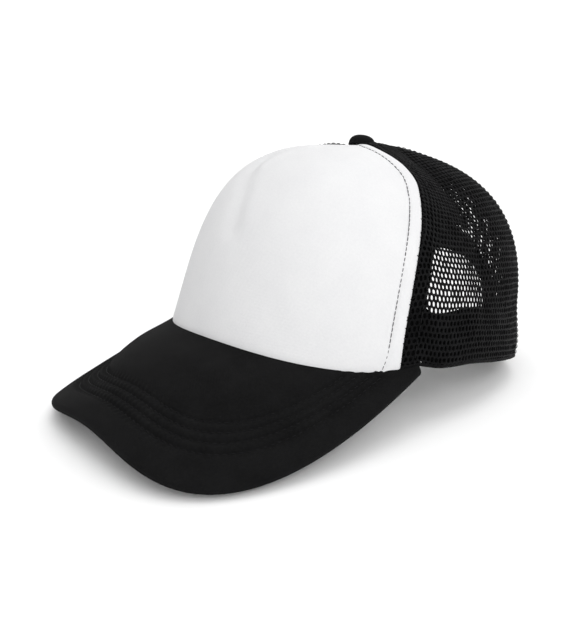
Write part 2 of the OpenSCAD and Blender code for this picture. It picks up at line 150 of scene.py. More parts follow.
def edge_z(phi, inset=0.0):
    """Height of the headband's edge: on the visor in front, lifted over the ears."""
    a = from_front(phi)
    x, y = plan(np.minimum(a, TEMPLE_PHI), inset)
    behind_temple = TEMPLE_PHI + TEMPLE_FADE
    ears = ramp(a, behind_temple, SIDE_SPAN[0]) * (1 - ramp(a, *SIDE_SPAN[1:]))
    return visor_z(x, y) * (1 - ramp(a, TEMPLE_PHI, behind_temple)) + SIDE_LIFT * ears


def flare(phi, th):
    a = from_front(phi)
    behind_ears = ramp(a, *FLARE_SPAN[:2]) * (1 - ramp(a, *FLARE_SPAN[2:]))
    return HEM_FLARE / HALF_W * behind_ears * (1 - ramp(th, *FLARE_TH))


def crown(phi, th, inset=0.0):
    """Point of the crown's skin, inset below it."""
    phi, th, inset = np.broadcast_arrays(*(np.asarray(v, float) for v in (phi, th, inset)))
    c = np.cos(np.radians(phi))
    ct = np.maximum(np.cos(np.radians(th)), 1e-9)
    st = np.maximum(np.sin(np.radians(th)), 0)
    front = np.maximum(c, 0) ** 2
    rear = 1 - (1 - np.maximum(-c, 0)) ** 2.5
    weights = (front, 1 - front - rear, rear)
    n, lean, cone, swell = (sum(w * v for w, v in zip(weights, values))
                            for values in (PROFILE_N, WALL_LEAN, TOP_CONE, TOP_SWELL))
    k = (ct ** n + st ** n) ** (1 / n)
    out, up = ct / k, st / k
    rise = (1 - cone) * up + cone * (1 - out)
    r = out * (1 - lean * up) * (1 + flare(phi, th))
    x, y = plan(phi, inset)
    foot = edge_z(phi, inset)
    z = foot + (HEIGHT - inset - foot) * rise - DIMPLE * bell(out, DIMPLE_R)
    return np.stack([x * r, BUTTON_Y + (y - BUTTON_Y) * r,
                     z + swell * bell(out - SWELL_AT, SWELL_W)], -1)


def unit(v):
    return v / np.maximum(np.linalg.norm(v, axis=-1, keepdims=True), 1e-12)


def crown_normal(phi, th):
    step = 0.05
    along = crown(np.asarray(phi) + step, th) - crown(np.asarray(phi) - step, th)
    high = np.minimum(np.asarray(th) + step, 89.9)
    low = np.maximum(np.asarray(th) - step, 0)
    return unit(np.cross(along, crown(phi, high) - crown(phi, low)))


def seam_phi(th):
    back, forward = SEAM_SWING
    return FRONT_SEAM + back * np.sin(np.radians(th)) ** 2.5 - forward * ramp(th, 50, 86)


def span(length, th):
    """Angle round the crown that a length takes at one level."""
    return length * DEG / (HALF_W * np.maximum(np.cos(np.radians(th)), 0.12))


def line_phi(th):
    """Needle line on the front panel, beside its seam."""
    off = (6.2 + 2.5 * np.exp(-np.asarray(th, float) / 2.5) + 2.3 * ramp(th, 42, 62)
           - 4 * ramp(th, 66, 80))
    return seam_phi(th) - np.minimum(span(off, th), 30)


def level(phi, z):
    """Profile angle at which the crown reaches height z."""
    lo, hi = np.zeros_like(phi), np.full_like(phi, 90.0)
    for _ in range(24):
        mid = (lo + hi) / 2
        below = crown(phi, mid)[..., 2] < z
        lo, hi = np.where(below, mid, lo), np.where(below, hi, mid)
    return (lo + hi) / 2


def rear_place(x, z):
    """(phi, th) of the rear wall's point with a given x and height."""
    x, z = np.broadcast_arrays(np.asarray(x, float), np.asarray(z, float))
    phi = np.full(x.shape, 165.0)
    for _ in range(7):
        th = level(phi, z)
        r = crown(phi, th)[..., 0] / plan(phi)[0]
        s = np.clip(np.abs(x) / (HALF_W * r), 0, 1) ** (PLAN_N / 2)
        phi = 180 - np.maximum(np.degrees(np.arcsin(s)), 0.01)
    return np.where(x < 0, 360 - phi, phi), th


def visor_rim(t, trim=0.0):
    """(x, y) of the visor's edge, or of a line trimmed in from it; t is -1 to 1."""
    a = np.radians(90 * np.sign(t) * np.abs(t) ** 1.5)
    u = (VISOR_HALF_W - trim) * spow(np.sin(a), OUTLINE_N[1])
    reach = FRONT + VISOR_LEN - trim + TEMPLE_Y
    return np.stack([VISOR_R * np.sin(u / VISOR_R),
                     TEMPLE_Y - reach * spow(np.cos(a), OUTLINE_N[0]) + 0 * u], -1)


def visor_normal(x):
    nx = x / np.sqrt(VISOR_R ** 2 - x ** 2)
    return unit(np.stack([nx, -TAN_PITCH + 0 * nx, 1 + 0 * nx], -1))


def below_visor(xy, depth):
    x, y = xy[..., 0], xy[..., 1]
    top = np.stack([x, y, visor_z(x, y)], -1)
    return top - np.asarray(depth)[..., None] * visor_normal(x)


def visor_xy(t, s, trim=0.0):
    """(x, y) on the visor: s is 0 at its root under the crown and 1 at its edge."""
    root = np.stack(plan(TEMPLE_PHI * np.asarray(t), VISOR_ROOT_IN), -1)
    return root + (visor_rim(t, trim) - root) * np.asarray(s)[..., None]


# ---- Mesh helpers ----
def to_row(points):
    """Millimetres upright to metres in the row frame, leaned back."""
    p = np.asarray(points, float).reshape(-1, 3)
    c, s = math.cos(LEAN), math.sin(LEAN)
    leaned = np.stack([p[:, 0], c * p[:, 1] + s * p[:, 2], -s * p[:, 1] + c * p[:, 2]], -1)
    return leaned * MM + np.array(BAND_CENTRE)


def flow(values):
    """Smooth repeatable noise, about -1 to 1, from points in millimetres."""
    x, y, z = (values[..., i] for i in range(3))
    return (np.sin(x * 0.91 + 1.3 * np.sin(z * 0.53)) * np.sin(z * 0.77 + 0.8)
            + np.sin(y * 0.83 + 1.1 * np.sin(x * 0.47) + 2.1)
            * np.sin(z * 0.59 + x * 0.31)) / 2


def weld(obj, distance):
    """Joins points that meet and drops faces that came to nothing."""
    bm = bmesh.new()
    bm.from_mesh(obj.data)
    bmesh.ops.remove_doubles(bm, verts=bm.verts, dist=distance * MM)
    bmesh.ops.dissolve_degenerate(bm, edges=bm.edges, dist=distance * MM * 0.5)
    bmesh.ops.recalc_face_normals(bm, faces=bm.faces)
    bm.to_mesh(obj.data)
    bm.free()


class Shape:
    """Points, faces and flat cloth coordinates of one piece, gathered bit by bit."""

    def __init__(self):
        self.points, self.faces, self.uvs, self.mats, self.count = [], [], [], [], 0

    def add(self, points, faces, uv=None, mat=0):
        """Adds points with their faces, and returns the first point's number."""
        points = np.asarray(points, float).reshape(-1, 3)
        base = self.count
        self.points.append(points)
        self.uvs.append(np.zeros((len(points), 2)) if uv is None else uv.reshape(-1, 2))
        self.count += len(points)
        self.add_faces(faces, base, mat)
        return base

    def add_faces(self, faces, base, mat=0):
        """Adds faces among points that are there, counted from the point base."""
        self.faces.append(np.asarray(faces, int) + base)
        self.mats.append(np.full(len(faces), mat))

    def build(self, name, materials, slot, stands_for=(), body="cap", join=0.0):
        mesh = bpy.data.meshes.new(name)
        mesh.from_pydata(to_row(np.concatenate(self.points)).tolist(), [],
                         [f for part in self.faces for f in part.tolist()])
        loops = np.zeros(len(mesh.loops), int)
        mesh.loops.foreach_get("vertex_index", loops)
        uvs = np.concatenate(self.uvs)[loops].astype(np.float32)
        mesh.uv_layers.new(name="cloth").data.foreach_set("uv", uvs.ravel())
        mesh.polygons.foreach_set("material_index", np.concatenate(self.mats).astype(np.int32))
        mesh.polygons.foreach_set("use_smooth", np.ones(len(mesh.polygons), bool))
        for material in materials:
            mesh.materials.append(material)
        mesh.update()
        obj = bpy.data.objects.new(name, mesh)
        bpy.context.scene.collection.objects.link(obj)
        if join:
            weld(obj, join)
        if body:
            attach(obj, body)
        if stands_for:
            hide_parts(*stands_for)
        return obj


def grid_faces(rows, cols, wrap=False, flip=False):
    """Quads of a grid of rows by cols points, joined round the cols if wrap."""
    i = np.arange(rows - 1)[:, None]
    j = np.arange(cols if wrap else cols - 1)[None, :]
    k = (j + 1) % cols
    quads = np.stack([i * cols + j, i * cols + k, (i + 1) * cols + k,
                      (i + 1) * cols + j], -1).reshape(-1, 4)
    return quads[:, ::-1] if flip else quads


def lengths(points, axis):
    """Distance along a grid of points from its first row or column."""
    steps = np.linalg.norm(np.diff(points, axis=axis), axis=-1)
    pad = [(0, 0), (0, 0)]
    pad[axis] = (1, 0)
    return np.pad(np.cumsum(steps, axis=axis), pad)


def edge_distance(points):
    """Distance of each grid point to the nearest of the grid's four edges."""
    u, v = lengths(points, 0), lengths(points, 1)
    return np.minimum(np.minimum(u, u[-1:] - u), np.minimum(v, v[:, -1:] - v))


def flat_uv(points):
    """Cloth coordinates in millimetres: along the rows, and up the columns."""
    u = lengths(points, 0)
    u = u - u[len(u) // 2][None, :]
    return np.stack([u, lengths(points, 1)], -1)


def shell(shape, outer, inner, uv):
    """Closed solid between two grids of points that share their outline."""
    rows, cols = outer.shape[:2]
    n = rows * cols
    ring = np.concatenate([np.arange(cols), (np.arange(1, rows) + 1) * cols - 1,
                           n - 2 - np.arange(cols - 1),
                           (rows - 2 - np.arange(rows - 2)) * cols])
    after = np.roll(ring, -1)
    sides = np.stack([ring, ring + n, after + n, after], -1)
    faces = np.concatenate([grid_faces(rows, cols), grid_faces(rows, cols, flip=True) + n, sides])
    shape.add(np.concatenate([outer.reshape(-1, 3), inner.reshape(-1, 3)]), faces,
              np.concatenate([uv.reshape(-1, 2)] * 2))


def pillow(shape, mid, normal, thick, edge, inward=0.0):
    """Solid of a sheet with rounded edges about a middle grid of points."""
    f = np.sqrt(np.clip(1 - (1 - np.clip(edge_distance(mid) / edge, 0, 1)) ** 2, 0, 1))
    half = thick / 2 * np.maximum(f, 0.12)
    shell(shape, mid + normal * half[..., None], mid - normal * (half + inward)[..., None],
          flat_uv(mid))


def eased(n, edge=0.02, extra=4):
    """n steps from 0 to 1 with extra ones close to both ends."""
    near = edge * np.linspace(0, 1, extra + 1)[:-1] ** 1.5
    return np.concatenate([near, np.linspace(edge, 1 - edge, n), 1 - near[::-1]])


def run_along(path):
    """Distance of each point of a path from its start."""
    return np.concatenate([[0], np.cumsum(np.linalg.norm(np.diff(path, axis=0), axis=1))])


THREAD_SIDES = 6
BIT_AT = np.array([0.0, 0.12, 0.35, 0.65, 0.88, 1.0])
BIT_GIRTH = np.array([0.35, 0.85, 1.0, 1.0, 0.85, 0.35])
BIT_RISE = np.array([-0.9, 0.25, 1.0, 1.0, 0.25, -0.9])


def stitches(shape, path, normal, pitch=3.0, fill=0.82, r=0.22, lift=0.28, mat=0, skew=0.0):
    """Thread bits along a path, each arched over the cloth with its ends sunk in."""
    run = run_along(path)
    count = max(1, int(run[-1] // pitch))
    step = run[-1] / count
    at = (np.arange(count) * run[-1] / count)[:, None] + step * (0.5 + fill * (BIT_AT - 0.5))
    pos = np.stack([np.interp(at, run, path[:, i]) for i in range(3)], -1)
    nrm = unit(np.stack([np.interp(at, run, normal[:, i]) for i in range(3)], -1))
    across = unit(np.cross(unit(np.gradient(pos, axis=1)), nrm))
    pos = pos + nrm * (lift * BIT_RISE)[:, None] + across * (skew * (BIT_AT - 0.5))[:, None]
    angle = np.arange(THREAD_SIDES) / THREAD_SIDES * 2 * np.pi
    ring = (across[:, :, None] * np.cos(angle)[:, None] + nrm[:, :, None] * np.sin(angle)[:, None])
    points = pos[:, :, None] + ring * (r * BIT_GIRTH)[:, None, None]
    bit = len(BIT_AT) * THREAD_SIDES
    offsets = np.arange(count)[:, None, None] * bit
    tube = grid_faces(len(BIT_AT), THREAD_SIDES, wrap=True)
    uv = np.stack([np.repeat(at.reshape(-1), THREAD_SIDES), np.zeros(count * bit)], -1)
    base = shape.add(points, (tube + offsets).reshape(-1, 4), uv, mat)
    ends = np.stack([np.arange(THREAD_SIDES)[::-1], bit - THREAD_SIDES + np.arange(THREAD_SIDES)])
    shape.add_faces((ends + offsets).reshape(-1, THREAD_SIDES), base, mat)


# ---- Materials ----
class Paint:
    """A material's node tree with short ways to add the nodes that cloth needs."""

    def __init__(self, name):
        self.material = bpy.data.materials.new(name)
        self.material.use_nodes = True
        self.tree = self.material.node_tree
        self.shader = self.tree.nodes["Principled BSDF"]

    def set(self, **values):
        for key, value in values.items():
            self.shader.inputs[key.replace("_", " ")].default_value = value

    def link(self, socket, name):
        self.tree.links.new(socket, self.shader.inputs[name])

    def node(self, kind, inputs=(), **settings):
        n = self.tree.nodes.new("ShaderNode" + kind)
        for key, value in settings.items():
            setattr(n, key, value)
        for key, value in dict(inputs).items():
            if isinstance(value, bpy.types.NodeSocket):
                self.tree.links.new(value, n.inputs[key])
            else:
                n.inputs[key].default_value = value
        return n

    def cloth(self):
        return self.node("UVMap", uv_map="cloth").outputs["UV"]

    def place(self):
        return self.node("TexCoord").outputs["Object"]

    def noise(self, where, scale, detail=3.0, rough=0.55):
        return self.node("TexNoise", {"Vector": where, "Scale": scale, "Detail": detail,
                                      "Roughness": rough}).outputs["Fac"]

    def bands(self, where, pitch, direction="X", distort=0.0):
        """Bands a pitch apart; a Wave texture of scale 1 repeats every 0.314159."""
        return self.node("TexWave", {"Vector": where, "Scale": 0.314159 / pitch,
                                     "Distortion": distort, "Detail": 1.0},
                         bands_direction=direction).outputs["Fac"]

    def math(self, operation, a, b=0.0):
        return self.node("Math", {0: a, 1: b}, operation=operation).outputs[0]

    def blend(self, *parts):
        """Sum of values, each times its share."""
        scaled = [self.math("MULTIPLY", value, share) for value, share in parts]
        total = scaled[0]
        for value in scaled[1:]:
            total = self.math("ADD", total, value)
        return total

    def mix(self, share, a, b):
        """Colour socket 6 blended into colour socket 7 of a Mix node."""
        return self.node("Mix", {"Factor": share, 6: (*a, 1.0), 7: (*b, 1.0)},
                         data_type="RGBA").outputs[2]

    def spread(self, value, low, high, to_low=0.0, to_high=1.0):
        return self.node("MapRange", {0: value, 1: low, 2: high, 3: to_low,
                                      4: to_high}).outputs[0]

    def bump(self, height, distance, strength, under=None):
        inputs = {"Height": height, "Distance": distance * MM, "Strength": strength}
        if under is not None:
            inputs["Normal"] = under
        return self.node("Bump", inputs).outputs["Normal"]

    def plain_weave(self, where, pitch):
        """Height of yarns that pass over and under each other."""
        turn = self.bands(where, pitch * 2, "DIAGONAL")
        over = self.math("MULTIPLY", self.bands(where, pitch, "X"), turn)
        under = self.math("MULTIPLY", self.bands(where, pitch, "Y"),
                          self.math("SUBTRACT", 1.0, turn))
        return self.math("ADD", over, under)

    def twill(self, where, pitch):
        """Height of slanting ribs over crossing yarns."""
        ribs = self.bands(where, pitch * 1.6, "DIAGONAL", 0.4)
        return self.math("ADD", ribs, self.math("MULTIPLY", self.bands(where, pitch, "Y"), 0.4))


def grey(value, blue):
    return value, value, blue


def cloth_material(name, dark, light, pitch, depth, rough=0.9, sheen=0.004, fuzz=0.12,
                   weave=Paint.plain_weave, specular=0.05):
    """Woven cloth: yarns from the flat coordinates, uneven dye, and fibre fuzz."""
    p = Paint(name)
    place = p.place()
    yarns = weave(p, p.cloth(), pitch)
    fibre = p.noise(place, 1000 / 0.9, 4.0, 0.7)
    patches = p.noise(place, 1000 / 14)
    tone = p.blend((p.spread(yarns, 0.1, 0.9), 0.35), (p.spread(fibre, 0.3, 0.7), 0.4),
                   (p.spread(patches, 0.3, 0.7), 0.25))
    p.link(p.mix(tone, dark, light), "Base Color")
    p.link(p.spread(fibre, 0.25, 0.75, rough - 0.1, min(1.0, rough + 0.1)), "Roughness")
    p.link(p.bump(yarns, depth, 0.9, p.bump(fibre, fuzz, 0.8)), "Normal")
    p.set(Sheen_Weight=sheen, Sheen_Roughness=0.5, Specular_IOR_Level=specular)
    return p.material


def thread_material(name, value, blue):
    """Twisted thread: slanting strands along each stitch."""
    p = Paint(name)
    strand = p.bands(p.cloth(), 0.35, "X", 1.0)
    fibre = p.noise(p.place(), 4000, 2.0)
    p.link(p.mix(fibre, grey(value * 0.6, blue * 0.6), grey(value * 1.7, blue * 1.7)),
           "Base Color")
    p.link(p.bump(p.math("ADD", strand, fibre), 0.05, 0.7), "Normal")
    p.set(Roughness=0.55, Sheen_Weight=0.005, Specular_IOR_Level=0.12)
    return p.material


def net_material():
    """Filament yarn of the net: slightly shiny, with twist along the strands, and lighter flecks in its colour
    that are partly uneven fibre and partly painted highlights.
    """
    p = Paint("net_yarn")
    place = p.place()
    twist = p.bands(p.cloth(), 0.42, "DIAGONAL", 1.5)
    fibre = p.noise(place, 2600)
    # Base colour flecked lighter at random: partly uneven fibre tone, partly painted highlights standing in for
    # the strands' gloss.
    tone = p.blend((fibre, 0.6), (p.noise(place, 60, 2.0), 0.4))
    p.link(p.mix(p.spread(tone, 0.38, 0.62), grey(0.0003, 0.0004), grey(0.0068, 0.0073)),
           "Base Color")
    p.link(p.spread(fibre, 0.3, 0.7, 0.42, 0.65), "Roughness")
    p.link(p.bump(p.math("ADD", twist, fibre), 0.09, 0.8), "Normal")
    p.set(Sheen_Weight=0.001, Specular_IOR_Level=0.05)
    return p.material


def moulded_material(name, dark, light, rough=0.38):
    """Moulded plastic with a fine spark-eroded grain and faint scuffs."""
    p = Paint(name)
    place = p.place()
    scuff = p.noise(place, 120, 5.0, 0.7)
    p.link(p.mix(scuff, dark, light), "Base Color")
    p.link(p.spread(scuff, 0.35, 0.7, rough, rough + 0.22), "Roughness")
    p.link(p.bump(p.noise(place, 3500, 2.0), 0.02, 0.6), "Normal")
    p.set(Specular_IOR_Level=0.5)
    return p.material


def foam_material(name, dark, light):
    """Open-cell foam: rounded pores at two sizes."""
    p = Paint(name)
    place = p.place()
    cells = p.node("TexVoronoi", {"Vector": place, "Scale": 1500.0}).outputs["Distance"]
    lumps = p.noise(place, 300, 4.0)
    p.link(p.mix(p.blend((cells, 0.7), (lumps, 0.4)), dark, light), "Base Color")
    p.link(p.bump(cells, 0.25, 0.8, p.bump(lumps, 0.2, 0.4)), "Normal")
    p.set(Roughness=0.95, Specular_IOR_Level=0.15)
    return p.material


def steel_material():
    p = Paint("button_steel")
    marks = p.noise(p.place(), 900, 4.0, 0.7)
    p.link(p.mix(marks, grey(0.42, 0.43), grey(0.62, 0.63)), "Base Color")
    p.link(p.spread(marks, 0.3, 0.7, 0.25, 0.45), "Roughness")
    p.link(p.bump(marks, 0.01, 0.5), "Normal")
    p.set(Metallic=1.0)
    return p.material


WHITE = cloth_material("front_polyester", grey(0.624, 0.635), grey(0.713, 0.715), 0.5, 0.07,
                       rough=0.85, sheen=0.04, fuzz=0.08, specular=0.12)
BLACK = cloth_material("visor_cotton", grey(0.0010, 0.0011), grey(0.0105, 0.0108), 0.45, 0.09,
                       rough=0.92, sheen=0.006, fuzz=0.14, specular=0.06)
TAPE = cloth_material("seam_tape", grey(0.0012, 0.0013), grey(0.0045, 0.0047), 0.7, 0.15,
                      sheen=0.003)
COTTON = cloth_material("sweatband_cotton", grey(0.0015, 0.0015), grey(0.0050, 0.0052), 0.6, 0.15,
                        rough=0.94, weave=Paint.twill)
BUTTON = cloth_material("button_cloth", grey(0.0025, 0.0026), grey(0.0090, 0.0094), 0.5, 0.10,
                        sheen=0.006, specular=0.07)
NET = net_material()
BLACK_THREAD = thread_material("black_thread", 0.005, 0.0055)
LINE_THREAD = thread_material("needle_thread", 0.045, 0.05)
PLASTIC = moulded_material("strap_plastic", grey(0.012, 0.013), grey(0.026, 0.028))
STIFFENER = moulded_material("visor_stiffener", grey(0.60, 0.58), grey(0.72, 0.70), 0.5)
FOAM = foam_material("panel_foam", grey(0.62, 0.60), grey(0.86, 0.84))
WADDING = foam_material("visor_wadding", grey(0.35, 0.35), grey(0.55, 0.55))
BAND_FOAM = foam_material("band_foam", grey(0.0012, 0.0012), grey(0.0040, 0.0040))
STEEL = steel_material()


# ---- Front panel ----
FOLD = [(-1, 30), (-4, 38), (-11, 47), (-13, 52)]
RIDGE = [(-5, 47), (0, 53), (6, 58)]
CREASE = [(0, 8), (0, 30), (-2, 44)]


def near_path(phi, th, path, width):
    """Bell-shaped nearness of crown places to a path of (phi, th) points."""
    at = crown(phi, th)
    ends = [crown(*p) for p in path]
    best = np.full(at.shape[:-1], 1e9)
    for a, b in zip(ends, ends[1:]):
        ab = b - a
        t = np.clip(((at - a) @ ab) / (ab @ ab), 0, 1)
        best = np.minimum(best, np.linalg.norm(at - a - t[..., None] * ab, axis=-1))
    return bell(best, width)


def panel_relief(phi, th):
    """Soft fold and unevenness of the front panel, in millimetres outward."""
    return (0.95 * near_path(phi, th, RIDGE, 4.5) - 1.35 * near_path(phi, th, FOLD, 6.0)
            + 0.3 * near_path(phi, th, CREASE, 11.0) + 0.3 * flow(crown(phi, th) * 0.11)
            - 0.5 * ramp(th, 58, 68))


def panel_grid(across, up, margin):
    """(phi, th) of a grid over the front panel, a margin short of both seams."""
    u, v = np.meshgrid(2 * across - 1, up, indexing="ij")
    th = v * TOP_TH
    return u * (seam_phi(th) - span(margin, th)), th


def front_panel():
    phi, th = panel_grid(eased(150, 0.012), eased(100, 0.02), GAP / 2)
    skin, normal = crown(phi, th), crown_normal(phi, th)
    run, foot = lengths(skin, 0), lengths(skin, 1)
    side = np.minimum(run, run[-1:] - run)
    line_run = side - (1 - line_phi(th) / seam_phi(th)) * run[-1:] / 2
    waves = np.sin(2 * np.pi * foot / 4.6 + 1.7 * np.sign(phi))
    turn_in = np.exp(-side / 0.7) + 0.8 * np.exp(-foot / 0.9)
    fine = (0.32 * ramp(-line_run, 0.2, 1.2) - 0.5 * bell(line_run, 0.55)
            + 0.10 * waves * bell(line_run, 2.4) - 0.7 * turn_in + 0.35 * bell(foot, 9.0))
    relief = panel_relief(phi, th)
    shape = Shape()
    shell(shape, skin + normal * (relief + fine)[..., None],
          crown(phi, th, FACE_T) + normal * np.minimum(relief, relief + fine)[..., None],
          flat_uv(skin))
    shape.build("front_panel", [WHITE], "front_fabric", ["front_panel_face"])


def front_backing():
    phi, th = panel_grid(eased(70, 0.02, 3), eased(50, 0.03, 3), GAP)
    normal = crown_normal(phi, th)
    needle_dent = 0.5 * bell(np.abs(phi) - line_phi(th), span(0.8, th))
    relief = panel_relief(phi, th) - needle_dent
    lumps = 0.12 * flow(crown(phi, th) * 0.6)
    shape = Shape()
    shell(shape, crown(phi, th, FOAM_IN) + normal * relief[..., None],
          crown(phi, th, FOAM_IN + FOAM_T) + normal * (relief * 0.8 + lumps)[..., None],
          flat_uv(crown(phi, th)))
    back = shape.build("front_panel_backing", [FOAM], "foam", ["front_panel_foam"])


def topstitch():
    """The dark needle line on the white panel, both sides."""
    shape = Shape()
    th = np.linspace(0.6, 71, 400)
    for side in (1, -1):
        phi = side * line_phi(th)
        normal = crown_normal(phi, th)
        path = crown(phi, th) + normal * (panel_relief(phi, th) - 0.28)[:, None]
        stitches(shape, path, normal, pitch=2.4, fill=0.97, r=0.19, lift=0.24)
    shape.build("front_needle_line", [LINE_THREAD], "thread", ["front_topstitch"])


# ---- Net panels ----
NET_PITCH, NET_ROW = 2.42, 2.7
HOLE_HALF_W, HOLE_HALF_H = 0.76, 0.98
CORNER_BULGE, BAR_BULGE, LIP_BULGE = 0.50, 0.40, 0.37
CELL = 12
HEM_SIDES = 10


def net_cell():
    """Outline, middle and hole rings of one cell as flat (x, y), and the yarn's bulge."""
    slope = NET_PITCH ** 2 / (8 * NET_ROW)
    low, high, half = NET_ROW / 2 - slope, NET_ROW / 2 + slope, NET_PITCH / 2
    corners = np.array([(half, -low), (half, low), (0, high),
                        (-half, low), (-half, -low), (0, -high)])
    rim = np.empty((CELL, 2))
    rim[0::2] = corners
    rim[1::2] = (corners + np.roll(corners, -1, 0)) / 2
    angle = np.arctan2(rim[:, 1] / HOLE_HALF_H, rim[:, 0] / HOLE_HALF_W)
    hole = np.stack([HOLE_HALF_W * np.cos(angle), HOLE_HALF_H * np.sin(angle)], -1)
    bulge = np.where(np.arange(CELL) % 2 == 0, CORNER_BULGE, BAR_BULGE)
    return rim, hole + 0.28 * (rim - hole), hole, bulge


def net_lattice(centres, seed):
    """Flat points, heights and faces of all cells, one block of points for each ring."""
    rim, middle, hole, bulge = net_cell()
    lip = 0 * bulge + LIP_BULGE
    # No two holes are quite alike: each is a little wider, lower or off centre
    chance = np.random.default_rng(int(10 * seed))
    size = 1 + 0.10 * chance.standard_normal((len(centres), 1, 2)).clip(-2, 2)
    shift = 0.06 * chance.standard_normal((len(centres), 1, 2)).clip(-2, 2)
    rings = [rim[None] + 0 * shift] * 2 + [middle * size + shift] * 2 + [hole * size + shift]
    flat = np.concatenate([(centres[:, None] + ring).reshape(-1, 2) for ring in rings])
    height = np.concatenate([np.tile(h, len(centres))
                             for h in (bulge, -bulge, lip, -lip, 0 * bulge)])
    here = CELL * np.arange(len(centres))[:, None] + np.arange(CELL)
    after = here - np.arange(CELL) + (np.arange(CELL) + 1) % CELL
    block = CELL * len(centres)
    faces = []
    for outer, inner, turn in ((0, 2, 1), (2, 4, 1), (1, 3, -1), (3, 4, -1)):
        quads = np.stack([here + outer * block, after + outer * block,
                          after + inner * block, here + inner * block], -1)
        faces.append(quads.reshape(-1, 4)[:, ::turn])
    return flat, height, np.concatenate(faces)


class NetCloth:
    """The flat cloth of one net panel and where its points lie on the crown."""

    def __init__(self, phi_from, phi_to):
        self.phi_from, self.phi_to = phi_from, phi_to
        self.levels = np.linspace(0, TOP_TH - 1.0, 260)
        self.fracs = np.linspace(0, 1, 161)
        a, b = phi_from(self.levels), phi_to(self.levels)
        skin = crown(a[:, None] + (b - a)[:, None] * self.fracs, self.levels[:, None])
        run = lengths(skin, 1)
        self.run = run - run[:, 80:81]
        self.climb = lengths(skin[:, 80:81], 0)[:, 0]

    def centres(self):
        """Flat middles of the cells, each row half a pitch aside of the one below."""
        found = []
        for j in range(int(self.climb[-1] // NET_ROW) + 2):
            v = (j + 0.35) * NET_ROW
            th = np.interp(v, self.climb, self.levels)
            k = min(len(self.levels) - 1, int(np.searchsorted(self.levels, th)))
            reach = max(-self.run[k, 0], self.run[k, -1]) + NET_PITCH
            n = int(reach // NET_PITCH) + 1
            found += [(u, v) for u in (np.arange(-n, n + 1) + 0.5 * (j % 2)) * NET_PITCH]
        return np.array(found)

    def lay(self, flat):
        """(phi, th) of flat points, and which of them lie outside the panel."""
        levels, run, top = self.levels, self.run, self.climb[-1]
        th = np.interp(np.clip(flat[:, 1], 0, top), self.climb, levels)
        pos = np.interp(th, levels, np.arange(len(levels)))
        k0 = np.minimum(pos.astype(int), len(levels) - 2)
        w = pos - k0
        left = run[k0, 0] * (1 - w) + run[k0 + 1, 0] * w
        right = run[k0, -1] * (1 - w) + run[k0 + 1, -1] * w
        u = flat[:, 0]
        outside = (u < left) | (u > right) | (flat[:, 1] < 0) | (flat[:, 1] > top)
        u = np.clip(u, left, right)
        frac = np.empty(len(u))
        order = np.argsort(k0, kind="stable")
        starts = np.searchsorted(k0[order], np.arange(len(levels)))
        for k in range(len(levels) - 1):
            some = order[starts[k]:starts[k + 1]]
            low = np.interp(u[some], run[k], self.fracs)
            high = np.interp(u[some], run[k + 1], self.fracs)
            frac[some] = low * (1 - w[some]) + high * w[some]
        return self.phi_from(th) + (self.phi_to(th) - self.phi_from(th)) * frac, th, outside


def net_panel(name, node, side, phi_from, phi_to, keep, seed):
    """A net panel between two edges given as functions of th, mirrored by side."""
    cloth = NetCloth(phi_from, phi_to)
    flat, height, faces = net_lattice(cloth.centres(), seed)
    # Yarns wander a little from the regular lattice
    wander = np.stack([np.sin(flat[:, 0] * 0.21 + seed) * np.sin(flat[:, 1] * 0.17 + 2 * seed),
                       np.sin(flat[:, 1] * 0.13 + flat[:, 0] * 0.09 + seed)], -1)
    phi, th, outside = cloth.lay(flat + wander * (0.35, 0.25))
    kept = ~outside[faces].all(axis=1) & keep(phi, th)[faces].all(axis=1)
    sag = 0.25 * flow(crown(phi, th) * 0.15 + seed)
    rise = np.where(outside, 0.0, height) + sag
    points = crown(phi, th, MESH_T / 2) + crown_normal(phi, th) * rise[:, None]
    used, faces = np.unique(faces[kept], return_inverse=True)
    shape = Shape()
    shape.add(points[used] * (side, 1, 1), faces.reshape(-1, 4)[:, ::side], flat[used])
    hem = np.linspace(phi_from(np.zeros(1))[0], phi_to(np.zeros(1))[0], 600)
    hem = hem[keep(hem, 0 * hem)]
    net_hem(shape, side, np.linspace(hem[0], hem[-1], 150))
    shape.build(name, [NET], "mesh", [node], join=0.02)


def net_hem(shape, side, phi):
    """The net's lower edge, folded in and rolled by the sweatband's seam."""
    a = np.arange(HEM_SIDES) / HEM_SIDES * 2 * np.pi
    centre, normal = crown(phi, 0.55, MESH_T / 2), crown_normal(phi, 0.55)
    up = unit(np.cross(normal, np.gradient(centre, axis=0)))
    run = run_along(centre)
    r = 0.62 + 0.10 * np.sin(2 * np.pi * run / NET_PITCH)
    ring = (normal[:, None] * np.cos(a)[:, None] * 0.9 + up[:, None] * np.sin(a)[:, None] * 1.25)
    points = (centre[:, None] + ring * r[:, None, None]) * (side, 1, 1)
    uv = np.stack(np.meshgrid(run, a, indexing="ij"), -1)
    base = shape.add(points, grid_faces(len(phi), HEM_SIDES, wrap=True, flip=side < 0), uv)
    start, end = np.arange(HEM_SIDES), (len(phi) - 1) * HEM_SIDES + np.arange(HEM_SIDES)[::-1]
    shape.add_faces(np.stack([start, end])[:, ::side], base)


def everywhere(phi, th):
    return np.full(np.shape(phi), True)


def outside_arch(phi, th, margin=2.0):
    """Whether places of the rear wall lie clear of the arch."""
    p = crown(phi, th)
    rise = np.maximum(p[..., 2] - ARCH_FOOT, 0) / (ARCH_RISE + margin)
    return (np.abs(p[..., 0]) / (ARCH_HALF_W + margin)) ** 2 + rise ** 2 > 1


